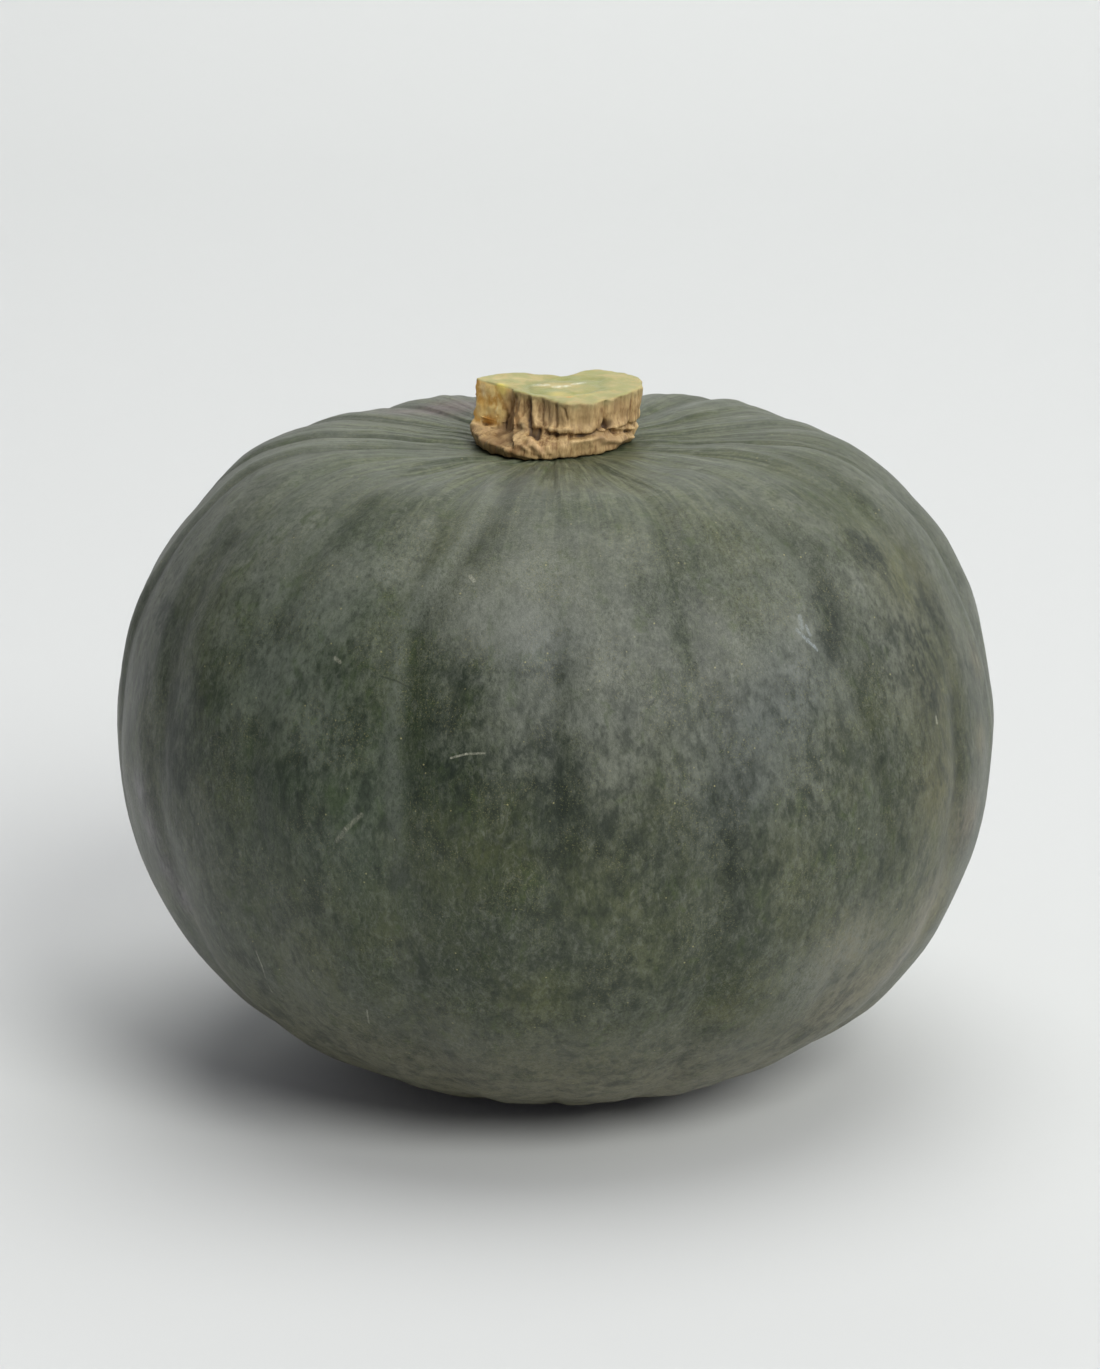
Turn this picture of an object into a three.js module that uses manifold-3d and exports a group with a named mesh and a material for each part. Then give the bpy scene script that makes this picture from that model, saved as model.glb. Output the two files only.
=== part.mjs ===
import * as THREE from 'three';
import { mergeVertices } from 'three/addons/utils/BufferGeometryUtils.js';
import Module from 'manifold-3d';

const wasm = await Module();
wasm.setup();

// A kabocha squash: a squat ribbed fruit with the corky stump of its stalk on top.
// Lengths are in millimetres, +Z is up, and the camera side is -Y.
// Longitudes are in degrees from -Y, positive towards +X.

// Fruit
const FRUIT_RADIUS = 90;
const WIDEST_HEIGHT = 74.1;
const RESTING_RING_INNER = 11;
const RESTING_RING_OUTER = 17;
const BLOSSOM_DIMPLE_DEPTH = 2.2;
const SEAT_HEIGHT = 131.4;

// Half of the upright section, from the blossom end below to the seat of the stalk above
const FRUIT_PROFILE = [
  [22, 0.7], [36, 3.3], [52, 9.8], [66, 19.2], [77, 31], [84.5, 44.3], [88.7, 58.5],
  [FRUIT_RADIUS, WIDEST_HEIGHT], [89, 83], [86.5, 93.7], [82, 105.8], [75, 117.8],
  [65.5, 127.2], [54, 132.2], [42, 133.2], [30, 132.8], [20, 132.2], [10, 131.6],
];
const PROFILE_RINGS = 34;

// Grooves between the ribs: those on the camera side by eye, the rest spread evenly behind
const FRONT_GROOVES = [-61, -41, -21, -1, 20, 41, 62];
const HIDDEN_GROOVES = 11;
const HIDDEN_GROOVE_SCATTER = 1.2;
const DEEP_GROOVE = 1.2;
const SHALLOW_GROOVE = 0.7;
const GROOVE_HALF_WIDTH = 2.4;
const RIB_COLUMNS = [0, 0.1, 0.26, 0.5, 0.74, 0.9];
const ROUNDED_SHARE = 0.4;
const FULL_DEPTH_FROM_BLOSSOM_END = 60;
const FULL_DEPTH_FROM_AXIS = 40;
const SHARE_AT_AXIS = 0.15;

// The fruit leans and swells unevenly, as it grew
const LEAN = -0.015;
const SHOULDER_RISE = 0.011;
const SEAT_TILT = 0.05;
const SEAT_REACH = 24;

// Swellings and dents of the rind: longitude, height, reach along the rind, amount outwards
const SWELLINGS = [
  [90, 103, 15, 0.9], [90, 86, 9, -0.7], [86, 124, 9, -0.8], [84, 36, 12, -0.9], [68, 18, 12, 0.9],
  [-90, 121, 12, -0.9], [-88, 90, 26, 0.4], [-84, 44, 16, 0.6],
  [150, 96, 30, 1.2], [-135, 60, 34, 1.4], [178, 40, 28, -1.0],
];

// Stalk stump
const STALK_CENTRE = [1, 0];
const STALK_COLUMNS = 72;
const OUTLINE_SAMPLES = 720;
const STALK_GAP = 0.3;
const RIDGE_DEPTH = 0.4;

// Outline of the cut face, seen from above, and of the skirt where the stalk meets the rind
const CUT_OUTLINE = [
  [-17.5, 4], [-15.6, 7.6], [-12.7, 10], [-9.5, 11.2], [-6.3, 11.5], [-2.7, 10.3], [1.3, 8.9],
  [4.5, 11.2], [6.8, 13.9], [9.4, 14.6], [12, 13.3], [14.5, 10.6], [16.9, 7.5], [17.3, 3],
  [16.4, -2.6], [13, -7.2], [8.8, -11.7], [5.6, -13.6], [2.5, -14.3], [-0.1, -11.7],
  [-2.6, -8.9], [-5.4, -6.2], [-9.2, -3.2], [-14.6, -1.4],
];
const SKIRT_OUTLINE = [
  [-16.8, 3], [-15.5, -3], [-12.8, -8.8], [-8.5, -13.6], [-3.5, -15.8], [1.5, -15.2], [5, -13.6],
  [8.5, -12.2], [12.5, -10], [15.6, -6], [17.3, -1], [17.9, 4], [17, 9], [13.5, 14], [8, 16.3],
  [2, 14.2], [-4, 13.8], [-10, 13.4], [-15, 9.5],
];

// Levels of the stalk: height, share of the cut outline in the section, and its scale
const STALK_LEVELS = [
  [126, 0, 0.88], [131.6, 0, 0.96], [133.2, 0, 1], [134.8, 0.05, 1], [135.8, 0.3, 0.96],
  [136.6, 0.6, 0.92], [138.2, 0.85, 0.94], [140.6, 0.97, 0.98], [143, 1, 1], [149, 1, 1],
];

// The saw cut across the top, tilted towards the camera side
const CUT_POINT = [0, 0, 143.9];
const CUT_NORMAL = [0, -0.049, 1];

// The knife's upright cut at the left end: its face, its foot and the side where it runs out
const FACET_POINT = [-9.7, -0.8, 144];
const FACET_NORMAL = [-0.74, -0.67, 0.1];
const FACET_FOOT_POINT = [0, 0, 136.8];
const FACET_END_POINT = [-8.9, 0, 144];
const FACET_END_NORMAL = [-1, 0, 0.34];
const CUTTER_SIZE = 80;

const RIND_COLOUR = 0x4b5348;
const CORK_COLOUR = 0x967d5f;

// A repeatable stand-in for chance, between -1 and 1
function scatter(index) {
  return 2 * THREE.MathUtils.seededRandom(index) - 1;
}

function grooveLongitudes() {
  const first = FRONT_GROOVES[0];
  const last = FRONT_GROOVES[FRONT_GROOVES.length - 1];
  const step = (360 + first - last) / (HIDDEN_GROOVES + 1);
  const hidden = [];
  for (let i = 1; i <= HIDDEN_GROOVES; i += 1) {
    hidden.push(last + step * i + HIDDEN_GROOVE_SCATTER * scatter(i));
  }
  return [...FRONT_GROOVES, ...hidden];
}

// Rings of the section as radius, height and outward normal, blossom end first
function profileRings() {
  const outline = FRUIT_PROFILE.map(([radius, height]) => new THREE.Vector2(radius, height));
  const spline = new THREE.SplineCurve(outline);
  const points = [
    new THREE.Vector2(RESTING_RING_INNER / 2, BLOSSOM_DIMPLE_DEPTH / 2),
    new THREE.Vector2(RESTING_RING_INNER, 0),
    new THREE.Vector2(RESTING_RING_OUTER, 0),
    ...spline.getSpacedPoints(PROFILE_RINGS),
  ];
  return points.map((point, i) => {
    const before = points[Math.max(i - 1, 0)];
    const after = points[Math.min(i + 1, points.length - 1)];
    const along = after.clone().sub(before).normalize();
    return { radius: point.x, height: point.y, normal: new THREE.Vector2(along.y, -along.x) };
  });
}

// How deep a column of the rind lies below the crest of its rib, as a share of the groove
function grooveShare(fraction, ribWidth) {
  const rounded = (2 * fraction - 1) ** 2;
  const distance = Math.min(fraction, 1 - fraction) * ribWidth;
  const narrow = Math.exp(-((distance / GROOVE_HALF_WIDTH) ** 2));
  return ROUNDED_SHARE * rounded + (1 - ROUNDED_SHARE) * narrow;
}

function rindColumns() {
  const grooves = grooveLongitudes();
  const columns = [];
  grooves.forEach((start, rib) => {
    const end = rib + 1 < grooves.length ? grooves[rib + 1] : grooves[0] + 360;
    const startDepth = rib % 2 === 0 ? DEEP_GROOVE : SHALLOW_GROOVE;
    const endDepth = rib % 2 === 0 ? SHALLOW_GROOVE : DEEP_GROOVE;
    RIB_COLUMNS.forEach((fraction) => {
      const depth = fraction < 0.5 ? startDepth : endDepth;
      columns.push({
        longitude: start + fraction * (end - start),
        drop: depth * grooveShare(fraction, end - start),
      });
    });
  });
  return columns;
}

// Grooves run out towards the resting ring and grow faint in the seat of the stalk
function grooveFade(ring) {
  const fromEnd = ring.radius + ring.height;
  const lower = THREE.MathUtils.smoothstep(fromEnd, RESTING_RING_OUTER, FULL_DEPTH_FROM_BLOSSOM_END);
  if (ring.height < WIDEST_HEIGHT) {
    return lower;
  }
  const fromAxis = THREE.MathUtils.smoothstep(ring.radius, 0, FULL_DEPTH_FROM_AXIS);
  return THREE.MathUtils.lerp(SHARE_AT_AXIS, 1, fromAxis);
}

function swelling(longitude, height) {
  let total = 0;
  for (const [centre, level, reach, amount] of SWELLINGS) {
    const turn = THREE.MathUtils.euclideanModulo(longitude - centre + 180, 360) - 180;
    const sideways = THREE.MathUtils.degToRad(turn) * FRUIT_RADIUS;
    total += amount * Math.exp(-((sideways ** 2 + (height - level) ** 2) / reach ** 2));
  }
  return total;
}

// One point of the rind, moved outwards by the given thickness
function rindPoint(ring, column, thickness) {
  const lift = thickness - column.drop * grooveFade(ring) + swelling(column.longitude, ring.height);
  const onRestingRing = ring.height === 0;
  const radius = ring.radius + (onRestingRing ? 0 : ring.normal.x * lift);
  const height = ring.height + (onRestingRing ? -thickness : ring.normal.y * lift);
  const angle = THREE.MathUtils.degToRad(column.longitude);
  const x = radius * Math.sin(angle);
  const y = -radius * Math.cos(angle);
  const shoulder = THREE.MathUtils.clamp((height - WIDEST_HEIGHT) / (SEAT_HEIGHT - WIDEST_HEIGHT), 0, 1);
  const seat = Math.exp(-((radius / SEAT_REACH) ** 2));
  const rise = (SHOULDER_RISE + SEAT_TILT * seat) * x * shoulder;
  return [x + LEAN * (height - WIDEST_HEIGHT), y, height + rise];
}

// A closed skin through rings of points, capped by a fan at each end
function closedSkin(rings, bottomCentre, topCentre) {
  const count = rings[0].length;
  const positions = [];
  rings.forEach((ring) => ring.forEach((point) => positions.push(...point)));
  positions.push(...bottomCentre, ...topCentre);
  const bottom = rings.length * count;
  const top = bottom + 1;
  const faces = [];
  for (let column = 0; column < count; column += 1) {
    const next = (column + 1) % count;
    faces.push(bottom, next, column);
    for (let ring = 0; ring + 1 < rings.length; ring += 1) {
      const a = ring * count + column;
      const b = ring * count + next;
      const c = b + count;
      const d = a + count;
      faces.push(a, b, c, a, c, d);
    }
    const last = (rings.length - 1) * count;
    faces.push(last + column, last + next, top);
  }
  const geometry = new THREE.BufferGeometry();
  geometry.setAttribute('position', new THREE.Float32BufferAttribute(positions, 3));
  geometry.setIndex(faces);
  return geometry;
}

function fruitGeometry(thickness) {
  const columns = rindColumns();
  const rings = profileRings().map((ring) => columns.map((column) => rindPoint(ring, column, thickness)));
  const lowered = -LEAN * WIDEST_HEIGHT;
  const bottomCentre = [lowered, 0, BLOSSOM_DIMPLE_DEPTH - thickness];
  const raised = LEAN * (SEAT_HEIGHT - WIDEST_HEIGHT);
  const topCentre = [raised, 0, SEAT_HEIGHT + thickness];
  return closedSkin(rings, bottomCentre, topCentre);
}

// Radius of a closed outline at any angle about the stalk's centre
function outlineRadius(outline) {
  const curve = new THREE.CatmullRomCurve3(
    outline.map(([x, y]) => new THREE.Vector3(x - STALK_CENTRE[0], y - STALK_CENTRE[1], 0)),
    true,
  );
  const samples = curve.getPoints(OUTLINE_SAMPLES);
  return (angle) => {
    const direction = new THREE.Vector3(Math.cos(angle), Math.sin(angle), 0);
    const aligned = (point) => point.dot(direction) / point.length();
    const nearest = samples.reduce((best, point) => (aligned(point) > aligned(best) ? point : best));
    return nearest.length();
  };
}

// Uneven upright ridges of the bark
function barkRidge(angle) {
  return 0.55 * Math.sin(11 * angle + 1) + 0.3 * Math.sin(17 * angle + 2.2) + 0.25 * Math.sin(5 * angle);
}

function stalkGeometry() {
  const cut = outlineRadius(CUT_OUTLINE);
  const skirt = outlineRadius(SKIRT_OUTLINE);
  const [centreX, centreY] = STALK_CENTRE;
  const rings = STALK_LEVELS.map(([height, share, scale]) => {
    const ring = [];
    for (let i = 0; i < STALK_COLUMNS; i += 1) {
      const angle = (2 * Math.PI * i) / STALK_COLUMNS;
      const plain = THREE.MathUtils.lerp(skirt(angle), cut(angle), share);
      const radius = plain * scale + RIDGE_DEPTH * barkRidge(angle);
      ring.push([centreX + radius * Math.cos(angle), centreY + radius * Math.sin(angle), height]);
    }
    return ring;
  });
  const lowest = STALK_LEVELS[0][0];
  const highest = STALK_LEVELS[STALK_LEVELS.length - 1][0];
  return closedSkin(rings, [centreX, centreY, lowest], [centreX, centreY, highest]);
}

function toSolid(geometry) {
  const bare = geometry.clone();
  bare.deleteAttribute('normal');
  bare.deleteAttribute('uv');
  const merged = mergeVertices(bare, 1e-4);
  return new wasm.Manifold(new wasm.Mesh({
    numProp: 3,
    vertProperties: new Float32Array(merged.attributes.position.array),
    triVerts: new Uint32Array(merged.index.array),
  }));
}

function toGeometry(solid) {
  const mesh = solid.getMesh();
  const geometry = new THREE.BufferGeometry();
  geometry.setAttribute('position', new THREE.BufferAttribute(mesh.vertProperties, 3));
  geometry.setIndex(new THREE.BufferAttribute(mesh.triVerts, 1));
  geometry.computeVertexNormals();
  return geometry;
}

// A big block that fills the outer side of a plane
function outerSide(point, normal) {
  const block = new THREE.BoxGeometry(CUTTER_SIZE, CUTTER_SIZE, CUTTER_SIZE);
  block.translate(0, 0, CUTTER_SIZE / 2);
  const outward = new THREE.Vector3(...normal).normalize();
  block.applyQuaternion(new THREE.Quaternion().setFromUnitVectors(new THREE.Vector3(0, 0, 1), outward));
  block.translate(...point);
  return toSolid(block);
}

const facetCutter = outerSide(FACET_POINT, FACET_NORMAL)
  .intersect(outerSide(FACET_FOOT_POINT, [0, 0, 1]))
  .intersect(outerSide(FACET_END_POINT, FACET_END_NORMAL));

const fruitShape = fruitGeometry(0);
const stalkShape = toGeometry(
  toSolid(stalkGeometry())
    .subtract(outerSide(CUT_POINT, CUT_NORMAL))
    .subtract(facetCutter)
    .subtract(toSolid(fruitGeometry(STALK_GAP))),
);

// The origin is under the middle of the whole squash, on the surface that it rests on
fruitShape.computeBoundingBox();
const middle = fruitShape.boundingBox.getCenter(new THREE.Vector3());
fruitShape.computeVertexNormals();

const rind = new THREE.MeshStandardMaterial({ color: RIND_COLOUR, roughness: 0.5, metalness: 0 });
const cork = new THREE.MeshStandardMaterial({ color: CORK_COLOUR, roughness: 0.85, metalness: 0 });

const fruit = new THREE.Mesh(fruitShape, rind);
fruit.name = 'fruit';
const stalk = new THREE.Mesh(stalkShape, cork);
stalk.name = 'stem';

const squash = new THREE.Group();
squash.add(fruit, stalk);
squash.position.set(-middle.x, -middle.y, 0);

export default squash;
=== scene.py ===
# %% [markdown]
# A kabocha squash is a squat green fruit with a cut stalk. The solids of its two
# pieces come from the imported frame. This lesson dresses them: it gives the fruit a
# finely shaped rind, and the stalk its bark and cut faces, then lights and films them.

# %% Load the frame
import math
import random

import bpy
import numpy as np
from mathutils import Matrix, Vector, noise


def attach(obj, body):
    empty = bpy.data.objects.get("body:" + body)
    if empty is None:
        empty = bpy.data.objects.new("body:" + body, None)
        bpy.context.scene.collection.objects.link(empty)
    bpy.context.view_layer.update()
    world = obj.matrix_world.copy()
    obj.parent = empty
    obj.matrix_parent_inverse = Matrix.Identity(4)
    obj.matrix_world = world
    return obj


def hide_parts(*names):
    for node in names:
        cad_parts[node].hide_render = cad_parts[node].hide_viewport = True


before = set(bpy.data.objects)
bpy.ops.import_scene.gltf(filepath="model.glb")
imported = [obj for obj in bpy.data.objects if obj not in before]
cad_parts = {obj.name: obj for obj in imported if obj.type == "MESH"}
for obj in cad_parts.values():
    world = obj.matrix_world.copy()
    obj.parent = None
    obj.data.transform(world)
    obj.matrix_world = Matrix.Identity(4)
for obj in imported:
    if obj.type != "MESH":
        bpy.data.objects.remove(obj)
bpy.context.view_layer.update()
MM = 0.001

# %% [markdown]
# The camera comes first, because marks on the rind are placed by where the photograph
# shows them. A long lens from almost a metre away keeps the fruit's sides nearly
# parallel. The camera looks down on it by 16 degrees, which makes the grooves and the
# cut face of the stalk fall where they do in the photograph.

# %% Camera
PHOTO_WIDTH = 1100
PHOTO_HEIGHT = 1369
CAMERA_RISE = math.radians(16)
CAMERA_DISTANCE = 950 * MM
FRUIT_MIDDLE = Vector((0, 0, 65.2 * MM))
AIM = Vector((-1.07 * MM, 4.37 * MM, 80.4 * MM))
FOCAL_PIXELS = 4610
SENSOR = 36

toward_camera = Vector((0, -math.cos(CAMERA_RISE), math.sin(CAMERA_RISE)))
camera_data = bpy.data.cameras.new("camera")
camera_data.sensor_fit = "VERTICAL"
camera_data.sensor_height = SENSOR
camera_data.lens = FOCAL_PIXELS * SENSOR / PHOTO_HEIGHT
camera_data.clip_start = 50 * MM
camera = bpy.data.objects.new("camera", camera_data)
camera.location = FRUIT_MIDDLE + toward_camera * CAMERA_DISTANCE
camera.rotation_euler = (camera.location - AIM).to_track_quat("Z", "Y").to_euler()
bpy.context.collection.objects.link(camera)
bpy.context.scene.camera = camera
bpy.context.view_layer.update()
print("camera lens:", round(camera_data.lens, 1), "mm")

# %% [markdown]
# Both pieces share some helpers. An operator acts on whatever is selected, so each step
# starts by selecting one object alone. A copy of a solid is a heap of loose triangles,
# so its corners are merged before anything else is done to it. Vertices are read and
# written as one array in millimetres. A smooth step and a bell give soft edges.

# %% Helpers for a piece
MERGE_GAP = 0.01 * MM
SEED_SHIFT = (7.3, 3.1, 5.7)


def select_only(piece):
    bpy.ops.object.select_all(action="DESELECT")
    piece.select_set(True)
    bpy.context.view_layer.objects.active = piece


def merged_copy(node, name):
    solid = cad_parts[node]
    piece = solid.copy()
    piece.data = solid.data.copy()
    piece.name = name
    bpy.context.collection.objects.link(piece)
    select_only(piece)
    piece.data.materials.clear()
    bpy.ops.object.mode_set(mode="EDIT")
    bpy.ops.mesh.select_all(action="SELECT")
    bpy.ops.mesh.remove_doubles(threshold=MERGE_GAP)
    bpy.ops.mesh.normals_make_consistent(inside=False)
    bpy.ops.object.mode_set(mode="OBJECT")
    return piece


def apply_modifier(piece, kind, **settings):
    modifier = piece.modifiers.new(kind.lower(), kind)
    for key, value in settings.items():
        setattr(modifier, key, value)
    select_only(piece)
    bpy.ops.object.modifier_apply(modifier=modifier.name)


def vertex_array(piece, what="co"):
    values = np.empty(len(piece.data.vertices) * 3)
    if what == "co":
        piece.data.vertices.foreach_get("co", values)
    else:
        piece.data.vertex_normals.foreach_get("vector", values)
    return values.reshape(-1, 3) / (MM if what == "co" else 1)


def write_vertices(piece, points):
    piece.data.vertices.foreach_set("co", (points * MM).ravel())
    piece.data.update()


def noise_array(points, seed):
    shift = Vector([seed * step for step in SEED_SHIFT])
    return np.array([noise.noise(Vector(point) + shift) for point in points])


def smooth_step(values, low, high):
    share = np.clip((values - low) / (high - low), 0, 1)
    return share * share * (3 - 2 * share)


def bell(values, half_width):
    return np.exp(-(values / half_width) ** 2)


# %% [markdown]
# Marks and folds are named by where the photograph shows them. A ray from the camera
# through that pixel finds the same spot on the piece, so a mark always lies on the
# surface, whatever the view. The same ray sent in from the side finds hidden spots, and
# a path of such spots gives every vertex its distance from a line.

# %% Find a place on a piece
FAR_OUT = 200 * MM


def seen_place(piece, pixel):
    sideways = (pixel[0] - PHOTO_WIDTH / 2) / FOCAL_PIXELS
    upwards = (PHOTO_HEIGHT / 2 - pixel[1]) / FOCAL_PIXELS
    ray = Vector((sideways, upwards, -1)).normalized()
    direction = camera.matrix_world.to_quaternion() @ ray
    hit, place, normal, face = piece.ray_cast(camera.location, direction)
    return np.array(place) / MM if hit else None


def side_place(piece, angle, height, centre=(0, 0)):
    outward = Vector((math.sin(angle), -math.cos(angle), 0))
    middle = Vector((centre[0], centre[1], height)) * MM
    hit, place, normal, face = piece.ray_cast(middle + outward * FAR_OUT, -outward)
    return np.array(place) / MM if hit else None


def seen_path(piece, pixels):
    places = [seen_place(piece, pixel) for pixel in pixels]
    return [place for place in places if place is not None]


def path_distance(points, path):
    nearest = np.full(len(points), np.inf)
    pairs = zip(path[:-1], path[1:]) if len(path) > 1 else [(path[0], path[0])]
    for start, end in pairs:
        along = end - start
        share = (points - start) @ along / max(along @ along, 1e-9)
        closest = start + np.clip(share, 0, 1)[:, None] * along
        nearest = np.minimum(nearest, np.linalg.norm(points - closest, axis=1))
    return nearest


# %% [markdown]
# What a finish needs to know about a place is kept on the mesh. A mask is one number for
# each vertex. Stains are soft spots of another colour, and some of them are painted light:
# a painted highlight, reflection or shade. Each row gives the colour, a radius in mm, a
# strength and the spots in pixels. A later spot lies over an earlier one, and all are
# kept as one colour and its share. Colours are written from 0 to 255, as a screen shows
# them, and turned into the linear values that a finish works with.

# %% Keep masks, stains and painted light on a piece
def linear(value):
    share = value / 255
    return share / 12.92 if share <= 0.04045 else ((share + 0.055) / 1.055) ** 2.4


def paint(red, green, blue):
    return (linear(red), linear(green), linear(blue), 1.0)


def keep_mask(piece, name, values):
    attribute = piece.data.attributes.new(name, "FLOAT", "POINT")
    attribute.data.foreach_set("value", np.asarray(values, dtype=np.float32))


def keep_stains_and_light(piece, points, stains_and_light):
    colour = np.zeros((len(points), 4))
    share = np.zeros(len(points))
    for shade, reach, strength, pixels in stains_and_light:
        for place in seen_path(piece, pixels):
            weight = strength * bell(np.linalg.norm(points - place, axis=1), reach)
            blend = (weight / np.maximum(share + weight - share * weight, 1e-6))[:, None]
            colour = colour * (1 - blend) + np.array(paint(*shade)) * blend
            share = share + weight - share * weight
    attribute = piece.data.attributes.new("stain_and_light", "FLOAT_COLOR", "POINT")
    attribute.data.foreach_set("color", colour.astype(np.float32).ravel())
    keep_mask(piece, "stain_and_light_share", share)


# %% [markdown]
# The rind is the skin of the whole fruit. The solid already has its ribs, so a copy of
# it is the best start: its triangles are joined back into a grid of quads, and two
# levels of subdivision round the grid into a smooth skin fine enough for relief.

# %% Rind: a smooth skin from the solid
QUAD_ANGLE = math.radians(60)
RIND_LEVELS = 2
rind = merged_copy("fruit", "rind")
bpy.ops.object.mode_set(mode="EDIT")
bpy.ops.mesh.select_all(action="SELECT")
bpy.ops.mesh.tris_convert_to_quads(face_threshold=QUAD_ANGLE, shape_threshold=QUAD_ANGLE)
bpy.ops.object.mode_set(mode="OBJECT")
apply_modifier(rind, "SUBSURF", levels=RIND_LEVELS, render_levels=RIND_LEVELS)
bpy.context.view_layer.update()
print("rind faces:", len(rind.data.polygons))

# %% [markdown]
# The rest of the work on the rind is done in the squash's own directions: the longitude
# round the stalk, and the polar angle down from the stalk to the blossom end. The
# grooves of the solid are found again as the places where its widest ring dips.

# %% Rind: longitude, polar angle and grooves
MIDDLE_HEIGHT = 66.0
WIDEST_HEIGHT = 74.1
STALK_X = 1.0
BELT_HALF = 4
BELT_WINDOW = 1.5
GROOVE_REACH = 7


def skin_directions(points):
    reach = np.hypot(points[:, 0] - STALK_X, points[:, 1])
    turned = np.degrees(np.arctan2(points[:, 0] - STALK_X, -points[:, 1]))
    down = np.degrees(np.arctan2(reach, points[:, 2] - MIDDLE_HEIGHT))
    return reach, turned, down


def turn_from(line, angles):
    return (angles - line + 180) % 360 - 180


skin = vertex_array(rind)
radius, longitude, polar = skin_directions(skin)
belt = np.abs(skin[:, 2] - WIDEST_HEIGHT) < BELT_HALF
belt_angles = np.arange(-180, 180)
belt_radius = np.array([
    radius[belt & (np.abs(turn_from(angle, longitude)) < BELT_WINDOW)].mean()
    for angle in belt_angles
])
grooves = []
for index, angle in enumerate(belt_angles):
    steps = range(index - GROOVE_REACH, index + GROOVE_REACH + 1)
    if belt_radius[index] == min(belt_radius[step % 360] for step in steps):
        grooves.append(float(angle))
print("grooves at", grooves)

# %% [markdown]
# On a kabocha each groove is more than a dip. It wanders, one side of it stands up as a
# soft ridge and the other falls away. The lit side of the ridge is painted pale as a
# painted highlight, and the crease with the band beside it is painted darker as painted
# shade. The grooves that face the camera follow the photograph, and the others wander by
# chance. Each row gives a path in pixels, then how deep its crease is and how high its ridge.

# %% Rind: creases and ridges along the grooves
SEEN_CREASES = [
    ([(520, 468), (500, 502), (476, 540), (452, 575), (430, 607), (416, 640), (411, 690), (408, 740),
      (409, 800), (413, 870), (419, 930), (428, 1000)], 0.30, 0.36),
    ([(560, 600), (558, 650), (557, 720), (559, 780), (562, 840), (563, 900), (563, 980)], 0.20, 0.10),
    ([(655, 500), (668, 560), (684, 620), (700, 690), (711, 760), (719, 830), (718, 900), (710, 950),
      (698, 1000), (684, 1045)], 0.15, 0.10),
    ([(628, 560), (641, 608), (655, 655), (668, 700), (676, 750)], 0.18, 0.10),
    ([(690, 480), (742, 510), (790, 545), (820, 590), (834, 650), (862, 710), (880, 780), (884, 850),
      (866, 930), (838, 990)], 0.24, 0.20),
    ([(420, 470), (352, 520), (300, 575), (268, 640), (252, 720), (254, 800), (275, 880),
      (318, 960)], 0.18, 0.15),
    ([(330, 450), (246, 500), (196, 566), (170, 650), (164, 730), (172, 810), (200, 890)], 0.20, 0.20),
    ([(760, 452), (868, 512), (924, 590), (952, 680), (956, 760), (946, 840), (912, 920)], 0.22, 0.18),
]
CREASE_WIDTH = 1.5
RIDGE_WIDTH = 1.9
RIDGE_PLACE = -3.2
SHADE_BAND_PLACE = 2.2
SHADE_BAND_WIDTH = 4.6
FULL_CREASE = 0.36
SEEN_LIMIT = 66
CHANCE_STOPS = 9
DRIFT_END = 60
rng = random.Random(12)
bpy.context.view_layer.update()


def crease_from_photo(pixels):
    places = np.array(seen_path(rind, pixels))
    reach, turned, down = skin_directions(places)
    order = np.argsort(down)
    return down[order], turned[order]


def crease_by_chance(groove):
    stops = np.linspace(rng.uniform(18, 34), rng.uniform(135, 160), CHANCE_STOPS)
    drift = rng.uniform(-6, 6)
    return stops, np.array([
        groove + rng.uniform(-0.9, 0.9) + drift * max(0.0, 1 - stop / DRIFT_END) for stop in stops
    ])


creases = [(*crease_from_photo(pixels), deep, high) for pixels, deep, high in SEEN_CREASES]
creases += [
    (*crease_by_chance(groove), rng.uniform(0.18, 0.36), rng.uniform(0.12, 0.42))
    for groove in grooves if abs(groove) > SEEN_LIMIT
]
crease_relief = np.zeros(len(skin))
groove_shade_mask = np.zeros(len(skin))
ridge_highlight_mask = np.zeros(len(skin))
for stops, turns, deep, high in creases:
    line = np.interp(polar, stops, turns)
    across = np.radians(turn_from(line, longitude)) * radius
    fade = smooth_step(polar, stops[0] - 4, stops[0] + 10)
    fade = fade * (1 - smooth_step(polar, stops[-1] - 22, stops[-1] + 4))
    valley = bell(across, CREASE_WIDTH)
    ridge = bell(across - RIDGE_PLACE, RIDGE_WIDTH)
    ridge = ridge * (1 - 0.75 * smooth_step(polar, 72, 100))
    crease_relief += fade * (high * ridge - deep * valley)
    # The lit side of each ridge gets a painted highlight, and the crease with the band beside it gets
    # painted shade.
    ridge_highlight_mask = np.maximum(ridge_highlight_mask, fade * ridge * high / FULL_CREASE)
    shade_side = bell(across - SHADE_BAND_PLACE, SHADE_BAND_WIDTH)
    groove_shade_mask = np.maximum(groove_shade_mask, fade * np.maximum(shade_side * 0.8, valley) * deep / FULL_CREASE)
print("creases:", len(creases), "deepest", round(float(crease_relief.min()), 2), "mm")
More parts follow.
